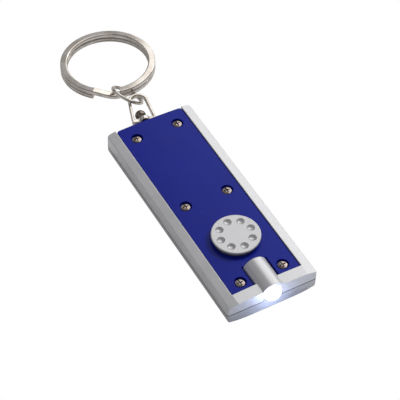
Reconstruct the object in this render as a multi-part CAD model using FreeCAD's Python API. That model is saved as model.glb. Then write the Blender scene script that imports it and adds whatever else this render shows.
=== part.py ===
"""Keychain flashlight: a flat plastic case with one LED, a round push button and a swivel with a key ring.

Millimetres. The origin is the middle of the case's flat underside. +Z is up, -Y is where the light shines,
+Y is where the key ring hangs, and +X is to the right of somebody who looks along +Y.
The case is two shells and a cover plate, held together by six screws that go down into bosses.
"""

import FreeCAD
import Part
import math
import os

from FreeCAD import Vector

# ---------------------------------------------------------------- driving sizes
# case
CASE_LENGTH = 61.5          # along Y
SEAM_HALF_WIDTH = 12.05     # where the shells meet, the widest line of the case
CREASE_INSET = 0.35         # from there in to where the side wall turns into the top
BOTTOM_INSET = 0.3          # from there in to where the side wall turns into the underside
CASE_HEIGHT = 6.5           # at the middle line
SEAM_Z = 3.1                # height of the joint between the shells
CREASE_DROP = 0.74          # from the top down to its side edge
RAIL_DROP = 0.24            # from the top down to the rail's inner edge, where the top's crown begins
BOTTOM_EDGE_Z = 0.77        # height of the underside's side edge
FLAT_HALF_WIDTH = 6.0       # half of the flat strip that the case rests on
FLOOR_THICKNESS = 1.2
SIDE_WALL = 1.35
END_WALL = 1.5
FRONT_CORNER_R = 0.8
REAR_CORNER_R = 1.3
CREASE_FILLET = 0.3
BOTTOM_FILLET = 0.45
SEAM_GROOVE_DEPTH = 0.3     # rebate round both shells that makes the visible joint line
SEAM_GROOVE_HALF = 0.11     # its height in each shell

# cover plate and its pocket
RAIL_WIDTH = 2.8            # from the case's widest line in to the plate's pocket
POCKET_FRONT_BORDER = 2.95  # silver border in front of the plate
POCKET_DEPTH = 1.5          # from the top down to the plate's underside
PLATE_STEP = 0.3            # how far the plate's face lies under the frame's
PLATE_GAP = 0.1             # between the plate and its pocket
PLATE_CORNER_R = 0.8
PLATE_EDGE_ROUND = 0.12
LEDGE_WIDTH = 1.05          # shelf under the plate's rim
LEDGE_THICKNESS = 0.8
RAIL_EDGE_ROUND = 0.18

# screws
SCREW_X = 5.7
SCREW_FROM_FRONT = 5.45
SCREW_FROM_REAR = 4.55
SCREW_MIDDLE_Y = 0.9
SCREW_HEAD_R = 1.1
SCREW_HEAD_HEIGHT = 0.6
SCREW_SHANK_R = 0.8
SCREW_LENGTH = 3.2          # under the head
SCREW_HEAD_DOME = 0.2       # rise of the head's top
SCREW_SEAT_THICKNESS = 0.42 # plate left under the head
SCREW_RECESS_R = 1.5        # counterbore in the plate
SCREW_SLOT_WIDTH = 0.36
SCREW_SLOT_SPAN = 1.5
SCREW_SLOT_DEPTH = 0.4
SCREW_CLEARANCE = 0.02
BOSS_R = 1.7
BOSS_TOP_GAP = 0.04         # under the plate
BOSS_SIDE_GAP = 0.1         # to the frame's ledge

# button
BUTTON_FROM_FRONT = 17.45
BUTTON_R = 6.0
BUTTON_RISE = 1.1           # of its face over the case's top
BUTTON_RIM = 0.5            # thickness of the rim that overhangs the plate
BUTTON_OVERHANG = 0.55
BUTTON_GAP = 0.15           # around the button's neck in the plate
BUTTON_EDGE_ROUND = 0.25
BUTTON_WALL = 1.1
HOOK_REACH = 0.65           # of the four snap hooks that hold the button under the plate
HOOK_WIDTH = 3.0
HOOK_THICKNESS = 0.5
HOOK_GAP = 0.05             # under the plate at rest
BUTTON_TRAVEL = 0.35
DIMPLE_COUNT = 8
DIMPLE_CIRCLE_R = 4.05
DIMPLE_R = 1.0              # at the button's face
DIMPLE_DEPTH = 0.42
POST_R = 1.4

# LED, a 5 mm one
LED_Z = 4.7
LED_R = 2.5
LED_FLANGE_RIM = 0.3        # round the LED's foot
LED_FLANGE_THICKNESS = 1.0
LED_LENGTH = 8.6            # flange to tip
LED_TIP_OUT = 1.5           # tip beyond the case's front face
LED_GAP = 0.05
LED_LEAD_SPACING = 2.54
LED_LEAD_WIDTH = 0.5
LEAD_BEND_FROM_BUTTON = 8.2
HOOD_WALL = 0.75
HOOD_LENGTH = 8.95
HOOD_END_WALL = 0.8
HOOD_EDGE_ROUND = 0.25
HOOD_PLATE_GAP = 0.1
CRADLE_TOP_Z = 3.6          # tongue of the lower shell under the LED
CRADLE_SIDE_GAP = 0.05
CUP_R = 0.75
CUP_DEPTH = 0.45
CUP_GAP = 0.15              # to the other lead
CUP_FROM_BASE = 3.6
LEAD_INSIDE = 2.4           # how far the leads go into the lens

# circuit board and switch
BOARD_BOTTOM_Z = 1.9
BOARD_THICKNESS = 0.8
BOARD_OVER_LEDGE = 0.35     # how far the board goes out past the pocket's side
BOARD_FROM_FRONT = 8.05
BOARD_LENGTH = 20.4
BOARD_PAD_X = 7.2           # pads that it lies on
BOARD_PAD_INSET = 1.6
BOARD_POST_INSET = 3.6      # posts that hold it down
SWITCH_SIDE = 4.6
SWITCH_HEIGHT = 1.2
SWITCH_WALL = 0.55
SWITCH_PLATE_THICKNESS = 0.15
STEM_R = 1.0
STEM_GAP = 0.06
DOME_R = 1.55
DOME_THICKNESS = 0.08
RESISTOR_SIZE = (2.0, 1.25, 0.5)
RESISTOR_FROM_BUTTON = 6.9
RESISTOR_X = 5.2
RESISTOR_END = 0.35

# battery: two coin cells, 20 mm by 1.6 mm, one on the other
CELL_R = 10.0
CELL_HEIGHT = 1.6
CELL_FROM_REAR = 17.25
CELL_SKIN = 0.25
CELL_GAP = 0.02
CELL_CAP_R = 8.9
CELL_GASKET_WIDTH = 0.35
CONTACT_THICKNESS = 0.2
CONTACT_WIDTH = 4.0
CONTACT_PAD_R = 4.0
CONTACT_ON_BOARD = 2.3      # from the board's rear edge to where both strips meet it
CONTACT_FOOT = 1.9          # from there to the strip's rise
RIB_GAP = 0.2               # around the cells
RIB_THICKNESS = 0.8
RIB_TOP_Z = 4.0

# swivel and rings
PIN_Z = 3.35
PIN_SHAFT_R = 0.8
PIN_HOLE_GAP = 0.08
PIN_FLANGE_RIM = 0.7        # round the shaft
PIN_FLANGE_THICKNESS = 0.8
PIN_FLANGE_GAP = 0.06
PIN_BLOCK_WALL = 1.2        # of the seat round the flange
PIN_NECK_R = 0.6
PIN_COLLAR_RIM = 0.45       # round the shaft
PIN_COLLAR_LENGTH = 0.9     # outside the case's rear face
PIN_BALL_R = 1.4
PIN_BALL_FROM_BASE = 2.15   # ball centre from the stirrup's base centre
STIRRUP_BASE_FROM_CASE = 2.3
STIRRUP_YAW = 14.0          # degrees that the stirrup leans to +X on its loose hole
STIRRUP_BASE_HALF_WIDTH = 3.2
STIRRUP_BASE_THICKNESS = 1.3
STIRRUP_HEIGHT = 1.3
STIRRUP_LEG = 0.75
STIRRUP_ARCH_Y = 7.0        # centre of the arch from the base centre
STIRRUP_ARCH_R = 2.6        # outside
STIRRUP_HOLE_R = 0.95
STIRRUP_EYE_R = 1.6
STIRRUP_ROUND = 0.25
JUMP_RING_MEAN_R = 4.12
JUMP_RING_WIRE_R = 0.45
JUMP_RING_CUT = 0.15        # width of the cut that it is opened at
JUMP_RING_FROM_CASE = 12.735
JUMP_RING_X = 0.495
JUMP_RING_Z = 3.053
JUMP_RING_AXIS = (0.598, 0.190, 0.779)
SPLIT_RING_OUTER_R = 12.5
SPLIT_WIRE_WIDTH = 1.85
SPLIT_WIRE_THICKNESS = 1.25
SPLIT_LAYER_GAP = 0.06
SPLIT_WIRE_ROUND = 0.35
SPLIT_RING_TILT = 3.2       # degrees, its near side lies on the links
SPLIT_RING_X = 1.65
SPLIT_RING_FROM_CASE = 26.2
SPLIT_END_ANGLE = 225.0     # where the lower turn ends
SPLIT_JOG_SWEEP = 31.0      # over which the wire steps from the upper turn to the lower one
SPLIT_UPPER_END = 4.0       # degrees past the step where the upper turn ends

# ---------------------------------------------------------------- sizes that follow
FRONT_Y = -CASE_LENGTH / 2
REAR_Y = CASE_LENGTH / 2
CREASE_HALF_WIDTH = SEAM_HALF_WIDTH - CREASE_INSET
BOTTOM_HALF_WIDTH = SEAM_HALF_WIDTH - BOTTOM_INSET
CREASE_Z = CASE_HEIGHT - CREASE_DROP
RAIL_TOP_Z = CASE_HEIGHT - RAIL_DROP
POCKET_HALF_WIDTH = SEAM_HALF_WIDTH - RAIL_WIDTH
POCKET_FRONT_Y = FRONT_Y + POCKET_FRONT_BORDER
PLATE_BOTTOM_Z = CASE_HEIGHT - POCKET_DEPTH
PLATE_TOP_Z = CASE_HEIGHT - PLATE_STEP
INNER_HALF_WIDTH = SEAM_HALF_WIDTH - SIDE_WALL
INNER_FRONT_Y = FRONT_Y + END_WALL
INNER_REAR_Y = REAR_Y - END_WALL
LEDGE_BOTTOM_Z = PLATE_BOTTOM_Z - LEDGE_THICKNESS
SCREW_ROWS_Y = (FRONT_Y + SCREW_FROM_FRONT, SCREW_MIDDLE_Y, REAR_Y - SCREW_FROM_REAR)
BUTTON_Y = FRONT_Y + BUTTON_FROM_FRONT
BUTTON_TOP_Z = CASE_HEIGHT + BUTTON_RISE
BUTTON_NECK_R = BUTTON_R - BUTTON_OVERHANG
CELL_Y = REAR_Y - CELL_FROM_REAR
LED_FLANGE_R = LED_R + LED_FLANGE_RIM
HOOD_R = LED_R + HOOD_WALL
HOOD_REAR_Y = FRONT_Y + HOOD_LENGTH
LED_TIP_Y = FRONT_Y - LED_TIP_OUT
LED_BASE_Y = LED_TIP_Y + LED_LENGTH
CUP_FRONT_Y = LED_BASE_Y - CUP_FROM_BASE
POST_INNER_Y = LED_BASE_Y - LEAD_INSIDE
BOARD_TOP_Z = BOARD_BOTTOM_Z + BOARD_THICKNESS
BOARD_HALF_WIDTH = POCKET_HALF_WIDTH + BOARD_OVER_LEDGE
BOARD_FRONT_Y = FRONT_Y + BOARD_FROM_FRONT
BOARD_REAR_Y = BOARD_FRONT_Y + BOARD_LENGTH
CONTACT_SOLDER_Y = BOARD_REAR_Y - CONTACT_ON_BOARD
RESISTOR_Y = BUTTON_Y + RESISTOR_FROM_BUTTON
SWITCH_TOP_Z = BOARD_TOP_Z + SWITCH_HEIGHT
HOOK_TOP_Z = PLATE_BOTTOM_Z - HOOK_GAP
HOOK_BOTTOM_Z = HOOK_TOP_Z - HOOK_THICKNESS
STEM_TOP_Z = HOOK_BOTTOM_Z
LEAD_BEND_Y = BUTTON_Y - LEAD_BEND_FROM_BUTTON
PIN_FLANGE_R = PIN_SHAFT_R + PIN_FLANGE_RIM
PIN_COLLAR_R = PIN_SHAFT_R + PIN_COLLAR_RIM
PIN_BLOCK_HALF_WIDTH = PIN_FLANGE_R + PIN_BLOCK_WALL
PIN_BLOCK_FRONT_Y = INNER_REAR_Y - PIN_FLANGE_THICKNESS - 2 * PIN_FLANGE_GAP - 1.0
STIRRUP_BASE = Vector(0, REAR_Y + STIRRUP_BASE_FROM_CASE, PIN_Z)
JUMP_RING_CENTRE = Vector(JUMP_RING_X, REAR_Y + JUMP_RING_FROM_CASE, JUMP_RING_Z)
JUMP_RING_NORMAL = Vector(*JUMP_RING_AXIS).normalize()
SPLIT_MEAN_R = SPLIT_RING_OUTER_R - SPLIT_WIRE_WIDTH / 2
SPLIT_HEIGHT = 2 * SPLIT_WIRE_THICKNESS + SPLIT_LAYER_GAP
SPLIT_TILT = math.radians(SPLIT_RING_TILT)
SPLIT_CENTRE = Vector(
    SPLIT_RING_X,
    REAR_Y + SPLIT_RING_FROM_CASE,
    SPLIT_RING_OUTER_R * math.sin(SPLIT_TILT) + SPLIT_HEIGHT / 2 * math.cos(SPLIT_TILT),
)
CELL_BOTTOM_Z = FLOOR_THICKNESS + CONTACT_THICKNESS + CELL_GAP
STACK_TOP_Z = CELL_BOTTOM_Z + 2 * CELL_HEIGHT + CELL_GAP

UP = Vector(0, 0, 1)
BACK = Vector(0, 1, 0)


# ---------------------------------------------------------------- helpers
def box(x0, x1, y0, y1, z0, z1):
    """A box from its lowest to its highest corner."""
    return Part.makeBox(x1 - x0, y1 - y0, z1 - z0, Vector(x0, y0, z0))


def upright(r, x, y, z0, z1):
    """A cylinder that stands along Z."""
    return Part.makeCylinder(r, z1 - z0, Vector(x, y, z0), UP)


def along_y(r, z, y0, y1, x=0):
    """A cylinder that lies along Y."""
    return Part.makeCylinder(r, y1 - y0, Vector(x, y0, z), BACK)


def prism(edges, direction):
    """The solid that a closed chain of flat edges sweeps along a vector."""
    return Part.Face(Part.Wire(Part.sortEdges(edges)[0])).extrude(direction)


def line(a, b):
    return Part.makeLine(a, b)


def arc(a, middle, b):
    return Part.Arc(a, middle, b).toShape()


def edges_where(shape, test):
    """The edges whose two ends and middle all pass a test on a point."""
    found = []
    for edge in shape.Edges:
        middle = edge.valueAt((edge.FirstParameter + edge.LastParameter) / 2)
        if test(middle) and all(test(v.Point) for v in edge.Vertexes):
            found.append(edge)
    return found


def near(a, b, tolerance=1e-4):
    return abs(a - b) < tolerance


def save(node, shape):
    """Writes one sub-part, after a look at whether it is whole."""
    if not shape.isValid():
        print("NOT VALID", node)
    print(f"{node:22s} solids {len(shape.Solids):2d}  volume {shape.Volume:9.3f} mm3")
    shape.exportStep(f"parts/{node}.step")


# ---------------------------------------------------------------- case
def sag(half_chord, radius):
    """How far an arc drops from its top over half a chord."""
    return radius - math.sqrt(radius * radius - half_chord * half_chord)


def crown_radius(half_chord, drop):
    """The radius of an arc that drops by that much over half a chord."""
    return (half_chord * half_chord + drop * drop) / (2 * drop)


CROWN_R = crown_radius(POCKET_HALF_WIDTH, RAIL_DROP)


def crown_z(x, top_z=CASE_HEIGHT):
    """Height of the crowned top at a distance from the middle line."""
    return top_z - sag(abs(x), CROWN_R)


def plan_outline():
    """The case's outline from above, as a tall prism with rounded corners."""
    block = box(-SEAM_HALF_WIDTH, SEAM_HALF_WIDTH, FRONT_Y, REAR_Y, -1, CASE_HEIGHT + 1)
    for end_y, r in ((FRONT_Y, FRONT_CORNER_R), (REAR_Y, REAR_CORNER_R)):
        block = block.makeFillet(r, edges_where(
            block, lambda p: near(abs(p.x), SEAM_HALF_WIDTH) and near(p.y, end_y)))
    return block


def seam_groove():
    """The band round the case, on both sides of the seam, that the shells leave open."""
    z0, z1 = SEAM_Z - SEAM_GROOVE_HALF, SEAM_Z + SEAM_GROOVE_HALF
    inner_x = SEAM_HALF_WIDTH - SEAM_GROOVE_DEPTH
    inner = box(-inner_x, inner_x, FRONT_Y + SEAM_GROOVE_DEPTH, REAR_Y - SEAM_GROOVE_DEPTH, z0 - 1, z1 + 1)
    return box(-SEAM_HALF_WIDTH - 1, SEAM_HALF_WIDTH + 1, FRONT_Y - 1, REAR_Y + 1, z0, z1).cut(inner)


def lower_block():
    """The lower shell's outside: a flat strip, rounded up to the sides, and side walls that lean out."""
    def at(x, z):
        return Vector(x, FRONT_Y, z)

    bend_r = crown_radius(BOTTOM_HALF_WIDTH - FLAT_HALF_WIDTH, BOTTOM_EDGE_Z)
    mid = (BOTTOM_HALF_WIDTH + FLAT_HALF_WIDTH) / 2
    mid_z = sag(mid - FLAT_HALF_WIDTH, bend_r)
    edges = [
        line(at(-FLAT_HALF_WIDTH, 0), at(FLAT_HALF_WIDTH, 0)),
        line(at(SEAM_HALF_WIDTH, SEAM_Z), at(-SEAM_HALF_WIDTH, SEAM_Z)),
    ]
    for s in (-1, 1):
        edges += [
            arc(at(s * FLAT_HALF_WIDTH, 0), at(s * mid, mid_z), at(s * BOTTOM_HALF_WIDTH, BOTTOM_EDGE_Z)),
            line(at(s * BOTTOM_HALF_WIDTH, BOTTOM_EDGE_Z), at(s * SEAM_HALF_WIDTH, SEAM_Z)),
        ]
    block = prism(edges, Vector(0, CASE_LENGTH, 0))
    lower_edges = edges_where(block, lambda p: near(abs(p.x), BOTTOM_HALF_WIDTH) and near(p.z, BOTTOM_EDGE_Z))
    return block.makeFillet(BOTTOM_FILLET, lower_edges).common(plan_outline()).cut(seam_groove())


def upper_block():
    """The upper frame's outside: side walls that lean in, sloping rails and a crown between them."""
    def at(x, z):
        return Vector(x, FRONT_Y, z)

    edges = [
        arc(at(-POCKET_HALF_WIDTH, RAIL_TOP_Z), at(0, CASE_HEIGHT), at(POCKET_HALF_WIDTH, RAIL_TOP_Z)),
        line(at(-SEAM_HALF_WIDTH, SEAM_Z), at(SEAM_HALF_WIDTH, SEAM_Z)),
    ]
    for s in (-1, 1):
        edges += [
            line(at(s * POCKET_HALF_WIDTH, RAIL_TOP_Z), at(s * CREASE_HALF_WIDTH, CREASE_Z)),
            line(at(s * SEAM_HALF_WIDTH, SEAM_Z), at(s * CREASE_HALF_WIDTH, CREASE_Z)),
        ]
    block = prism(edges, Vector(0, CASE_LENGTH, 0))
    crease = edges_where(block, lambda p: near(abs(p.x), CREASE_HALF_WIDTH) and near(p.z, CREASE_Z))
    return block.makeFillet(CREASE_FILLET, crease).common(plan_outline()).cut(seam_groove())


def pocket_space():
    """The space of the cover plate, open to the rear. Its mouth leaves the rails' inner edges round."""
    def at(x, z):
        return Vector(x, POCKET_FRONT_Y, z)

    half, r, top = POCKET_HALF_WIDTH, RAIL_EDGE_ROUND, CASE_HEIGHT + 1
    slope = (RAIL_TOP_Z - CREASE_Z) / (CREASE_HALF_WIDTH - POCKET_HALF_WIDTH)
    mouth_z = RAIL_TOP_Z - r * (1 + slope)
    k = r * math.sqrt(0.5)
    edges = [
        line(at(-half, PLATE_BOTTOM_Z), at(half, PLATE_BOTTOM_Z)),
        line(at(-half - r, top), at(half + r, top)),
    ]
    for s in (-1, 1):
        edges += [
            line(at(s * half, PLATE_BOTTOM_Z), at(s * half, mouth_z)),
            arc(at(s * half, mouth_z), at(s * (half + r - k), mouth_z + k), at(s * (half + r), mouth_z + r)),
            line(at(s * (half + r), mouth_z + r), at(s * (half + r), top)),
        ]
    return prism(edges, Vector(0, CASE_LENGTH, 0))


def pin_pocket():
    """The space that the swivel pin turns in, cut from both shells."""
    flange_front = INNER_REAR_Y - PIN_FLANGE_THICKNESS - 2 * PIN_FLANGE_GAP
    flange_room = along_y(PIN_FLANGE_R + PIN_HOLE_GAP, PIN_Z, flange_front, INNER_REAR_Y)
    return flange_room.fuse(along_y(PIN_SHAFT_R + PIN_HOLE_GAP, PIN_Z, INNER_REAR_Y - 0.1, REAR_Y + 1))


def led_room(grow, open_down):
    """The space that the LED sits in. open_down gives it straight sides down to the seam, to go in by."""
    flange_front = LED_BASE_Y - LED_FLANGE_THICKNESS - grow
    barrel = along_y(LED_R + grow, LED_Z, FRONT_Y - 1, flange_front + 0.1)
    flange = along_y(LED_FLANGE_R + grow, LED_Z, flange_front, LED_BASE_Y + grow)
    room = barrel.fuse(flange)
    if open_down:
        r = LED_R + grow
        fr = LED_FLANGE_R + grow
        room = room.fuse(box(-r, r, FRONT_Y - 1, flange_front + 0.1, SEAM_Z - 1, LED_Z))
        room = room.fuse(box(-fr, fr, flange_front, LED_BASE_Y + grow, SEAM_Z - 1, LED_Z))
    return room


def screw_places():
    return [(s * SCREW_X, y) for y in SCREW_ROWS_Y for s in (-1, 1)]


def lower_shell():
    shell = lower_block()
    shell = shell.cut(box(
        -INNER_HALF_WIDTH, INNER_HALF_WIDTH, INNER_FRONT_Y, INNER_REAR_Y, FLOOR_THICKNESS, SEAM_Z + 1))
    boss_top = PLATE_BOTTOM_Z - BOSS_TOP_GAP
    for x, y in screw_places():
        shell = shell.fuse(upright(BOSS_R, x, y, FLOOR_THICKNESS - 0.1, boss_top))
    # pads that the circuit board lies on
    for x in (-BOARD_PAD_X, BOARD_PAD_X):
        for y in (BOARD_FRONT_Y + BOARD_PAD_INSET, BOARD_REAR_Y - BOARD_PAD_INSET):
            shell = shell.fuse(box(x - 1, x + 1, y - 1, y + 1, FLOOR_THICKNESS - 0.1, BOARD_BOTTOM_Z))
    # curved ribs before and behind the cells, open in the middle for the contact strip
    ring_out = upright(CELL_R + RIB_GAP + RIB_THICKNESS, 0, CELL_Y, FLOOR_THICKNESS - 0.1, RIB_TOP_Z)
    ring_in = upright(CELL_R + RIB_GAP, 0, CELL_Y, FLOOR_THICKNESS - 1, RIB_TOP_Z + 1)
    ring = ring_out.cut(ring_in)
    strip_room = CONTACT_WIDTH / 2 + 0.3
    for s in (-1, 1):
        x0, x1 = sorted((s * strip_room, s * (strip_room + 2.0)))
        shell = shell.fuse(ring.common(box(x0, x1, CELL_Y - 20, CELL_Y + 20, 0, RIB_TOP_Z)))
    # cradle under the LED and its tongue up into the frame
    half = LED_R - CRADLE_SIDE_GAP
    cradle = box(-half, half, FRONT_Y, LED_BASE_Y + LED_GAP, FLOOR_THICKNESS - 0.1, CRADLE_TOP_Z)
    shell = shell.fuse(cradle).cut(led_room(LED_GAP, False))
    # seat of the swivel pin
    seat = box(-PIN_BLOCK_HALF_WIDTH, PIN_BLOCK_HALF_WIDTH, PIN_BLOCK_FRONT_Y, INNER_REAR_Y + 0.1,
               FLOOR_THICKNESS - 0.1, SEAM_Z)
    shell = shell.fuse(seat).cut(pin_pocket())
    for x, y in screw_places():
        hole_floor = PLATE_BOTTOM_Z + SCREW_SEAT_THICKNESS - SCREW_LENGTH - 0.3
        shell = shell.cut(upright(SCREW_SHANK_R + SCREW_CLEARANCE, x, y, hole_floor, boss_top + 1))
    return shell.removeSplitter()


def upper_frame():
    frame = upper_block()
    frame = frame.cut(pocket_space())
    # room under the ledge, and the opening inside it
    ledge_x = POCKET_HALF_WIDTH - LEDGE_WIDTH
    frame = frame.cut(box(
        -INNER_HALF_WIDTH, INNER_HALF_WIDTH, INNER_FRONT_Y, INNER_REAR_Y, SEAM_Z - 1, LEDGE_BOTTOM_Z))
    frame = frame.cut(box(
        -ledge_x, ledge_x, POCKET_FRONT_Y + LEDGE_WIDTH, INNER_REAR_Y,
        LEDGE_BOTTOM_Z - 0.1, PLATE_BOTTOM_Z + 0.1))
    frame = frame.cut(upright(CELL_R + RIB_GAP, 0, CELL_Y, SEAM_Z - 1, STACK_TOP_Z + 2 * CELL_GAP))
    for x, y in screw_places():
        frame = frame.cut(upright(BOSS_R + BOSS_SIDE_GAP, x, y, SEAM_Z - 1, PLATE_BOTTOM_Z + 0.1))
    # posts that hold the circuit board's edges down
    for s in (-1, 1):
        for y in (BOARD_FRONT_Y + BOARD_POST_INSET, BOARD_REAR_Y - BOARD_POST_INSET):
            x0, x1 = sorted((s * ledge_x, s * (BOARD_HALF_WIDTH - 0.1)))
            frame = frame.fuse(box(x0, x1, y - 1, y + 1, BOARD_TOP_Z, LEDGE_BOTTOM_Z + 0.1))
    # hood over the LED
    hood = along_y(HOOD_R, LED_Z, FRONT_Y, HOOD_REAR_Y)
    rear_rim = edges_where(hood, lambda p: near(p.y, HOOD_REAR_Y))
    hood = hood.makeFillet(HOOD_EDGE_ROUND, rear_rim)
    hood = hood.fuse(box(-HOOD_R, HOOD_R, FRONT_Y + 0.5, HOOD_REAR_Y - HOOD_EDGE_ROUND, SEAM_Z, LED_Z))
    hood = hood.common(box(-HOOD_R, HOOD_R, FRONT_Y, HOOD_REAR_Y, SEAM_Z, LED_Z + HOOD_R))
    frame = frame.fuse(hood).cut(led_room(LED_GAP, True))
    # room for the leads behind the LED, under a closed end
    lead_room_r = LED_R - 0.3
    behind = along_y(lead_room_r, LED_Z, LED_BASE_Y, HOOD_REAR_Y - HOOD_END_WALL)
    below = box(-lead_room_r, lead_room_r, LED_BASE_Y, HOOD_REAR_Y + 1, SEAM_Z - 1, PLATE_BOTTOM_Z)
    frame = frame.cut(behind).cut(below)
    # seat of the swivel pin
    seat = box(-PIN_BLOCK_HALF_WIDTH, PIN_BLOCK_HALF_WIDTH, PIN_BLOCK_FRONT_Y, INNER_REAR_Y + 0.1,
               SEAM_Z, PLATE_BOTTOM_Z - 0.1)
    frame = frame.fuse(seat).cut(pin_pocket())
    return frame.removeSplitter()


def cover_plate():
    """The coloured plate: flat below, crowned above, let into the frame."""
    half = POCKET_HALF_WIDTH - PLATE_GAP
    front = POCKET_FRONT_Y + PLATE_GAP
    edge_z = crown_z(half, PLATE_TOP_Z)

    def at(x, z):
        return Vector(x, front, z)

    edges = [
        arc(at(-half, edge_z), at(0, PLATE_TOP_Z), at(half, edge_z)),
        line(at(half, edge_z), at(half, PLATE_BOTTOM_Z)),
        line(at(half, PLATE_BOTTOM_Z), at(-half, PLATE_BOTTOM_Z)),
        line(at(-half, PLATE_BOTTOM_Z), at(-half, edge_z)),
    ]
    plate = prism(edges, Vector(0, REAR_Y - front, 0))
    rear_corners = edges_where(plate, lambda p: near(abs(p.x), half) and near(p.y, REAR_Y))
    plate = plate.makeFillet(PLATE_CORNER_R, rear_corners)
    notch = HOOD_R + HOOD_PLATE_GAP
    plate = plate.cut(box(-notch, notch, front - 1, HOOD_REAR_Y + HOOD_PLATE_GAP, 0, CASE_HEIGHT + 1))
    plate = plate.cut(upright(BUTTON_NECK_R + BUTTON_GAP, 0, BUTTON_Y, 0, CASE_HEIGHT + 1))
    for x, y in screw_places():
        plate = plate.cut(upright(SCREW_SHANK_R + 0.1, x, y, 0, CASE_HEIGHT + 1))
        seat_z = PLATE_BOTTOM_Z + SCREW_SEAT_THICKNESS
        plate = plate.cut(upright(SCREW_RECESS_R, x, y, seat_z, CASE_HEIGHT + 1))
    top = edges_where(plate, lambda p: near(p.z, crown_z(p.x, PLATE_TOP_Z), 2e-3))
    return plate.makeFillet(PLATE_EDGE_ROUND, top)


def cover_screws():
    """Six self-tapping screws with domed heads and a cross slot."""
    seat_z = PLATE_BOTTOM_Z + SCREW_SEAT_THICKNESS
    top_z = seat_z + SCREW_HEAD_HEIGHT
    dome_r = crown_radius(SCREW_HEAD_R, SCREW_HEAD_DOME)
    point = 0.5
    screws = []
    for x, y in screw_places():
        head = upright(SCREW_HEAD_R, x, y, seat_z, top_z)
        head = head.common(Part.makeSphere(dome_r, Vector(x, y, top_z - dome_r)))
        shank = upright(SCREW_SHANK_R, x, y, seat_z - SCREW_LENGTH + point, seat_z)
        tip = Part.makeCone(SCREW_SHANK_R * 0.4, SCREW_SHANK_R, point, Vector(x, y, seat_z - SCREW_LENGTH))
        screw = head.fuse(shank).fuse(tip)
        long, short = SCREW_SLOT_SPAN / 2, SCREW_SLOT_WIDTH / 2
        for dx, dy in ((long, short), (short, long)):
            screw = screw.cut(box(x - dx, x + dx, y - dy, y + dy, top_z - SCREW_SLOT_DEPTH, top_z + 1))
        screws.append(screw.removeSplitter())
    return Part.makeCompound(screws)


# ---------------------------------------------------------------- button and switch
def push_button():
    """A hollow cap that snaps in from above: a rim over the plate, a neck through it, four hooks under it."""
    cap = upright(BUTTON_R, 0, BUTTON_Y, BUTTON_TOP_Z - BUTTON_RIM, BUTTON_TOP_Z)
    cap = cap.makeFillet(BUTTON_EDGE_ROUND, edges_where(cap, lambda p: near(p.z, BUTTON_TOP_Z)))
    button = cap.fuse(upright(BUTTON_NECK_R, 0, BUTTON_Y, HOOK_BOTTOM_Z, BUTTON_TOP_Z - BUTTON_RIM))
    reach, half = BUTTON_NECK_R + HOOK_REACH, HOOK_WIDTH / 2
    hooks = upright(reach, 0, BUTTON_Y, HOOK_BOTTOM_Z, HOOK_TOP_Z)
    cross = box(-reach, reach, BUTTON_Y - half, BUTTON_Y + half, HOOK_BOTTOM_Z, HOOK_TOP_Z).fuse(
        box(-half, half, BUTTON_Y - reach, BUTTON_Y + reach, HOOK_BOTTOM_Z, HOOK_TOP_Z))
    button = button.fuse(hooks.common(cross))
    ceiling = BUTTON_TOP_Z - BUTTON_WALL - DIMPLE_DEPTH / 2
    button = button.cut(upright(BUTTON_NECK_R - BUTTON_WALL, 0, BUTTON_Y, HOOK_BOTTOM_Z - 1, ceiling))
    button = button.fuse(upright(POST_R, 0, BUTTON_Y, STEM_TOP_Z, BUTTON_TOP_Z - BUTTON_WALL))
    ball_r = crown_radius(DIMPLE_R, DIMPLE_DEPTH)
    for i in range(DIMPLE_COUNT):
        angle = math.pi / 2 + i * 2 * math.pi / DIMPLE_COUNT
        x = DIMPLE_CIRCLE_R * math.cos(angle)
        y = BUTTON_Y + DIMPLE_CIRCLE_R * math.sin(angle)
        button = button.cut(Part.makeSphere(ball_r, Vector(x, y, BUTTON_TOP_Z + ball_r - DIMPLE_DEPTH)))
    return button.removeSplitter()


def switch_housing():
    half = SWITCH_SIDE / 2
    top = SWITCH_TOP_Z - SWITCH_PLATE_THICKNESS
    housing = box(-half, half, BUTTON_Y - half, BUTTON_Y + half, BOARD_TOP_Z, top)
    well = upright(half - SWITCH_WALL, 0, BUTTON_Y, BOARD_TOP_Z + 0.3, top + 1)
    return housing.cut(well)


def switch_plate():
    """The steel plate that closes the switch around its stem."""
    half = SWITCH_SIDE / 2
    z0 = SWITCH_TOP_Z - SWITCH_PLATE_THICKNESS
    plate = box(-half, half, BUTTON_Y - half, BUTTON_Y + half, z0, SWITCH_TOP_Z)
    return plate.cut(upright(STEM_R + STEM_GAP, 0, BUTTON_Y, z0 - 1, SWITCH_TOP_Z + 1))


def switch_stem():
    """The plunger, with the wider foot that keeps it in."""
    foot_top = SWITCH_TOP_Z - SWITCH_PLATE_THICKNESS - STEM_GAP
    foot_bottom = foot_top - 0.2
    stem = upright(STEM_R, 0, BUTTON_Y, foot_bottom, STEM_TOP_Z)
    return stem.fuse(upright(STEM_R + 0.35, 0, BUTTON_Y, foot_bottom, foot_top)).removeSplitter()


def switch_dome():
    """The snap dome under the stem."""
    foot_bottom = SWITCH_TOP_Z - SWITCH_PLATE_THICKNESS - STEM_GAP - 0.2
    base_z = BOARD_TOP_Z + 0.3
    r = crown_radius(DOME_R, foot_bottom - base_z)
    centre = Vector(0, BUTTON_Y, foot_bottom - r)
    shell = Part.makeSphere(r, centre).cut(Part.makeSphere(r - DOME_THICKNESS, centre))
    return shell.common(upright(DOME_R, 0, BUTTON_Y, base_z, foot_bottom + 1))


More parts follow.
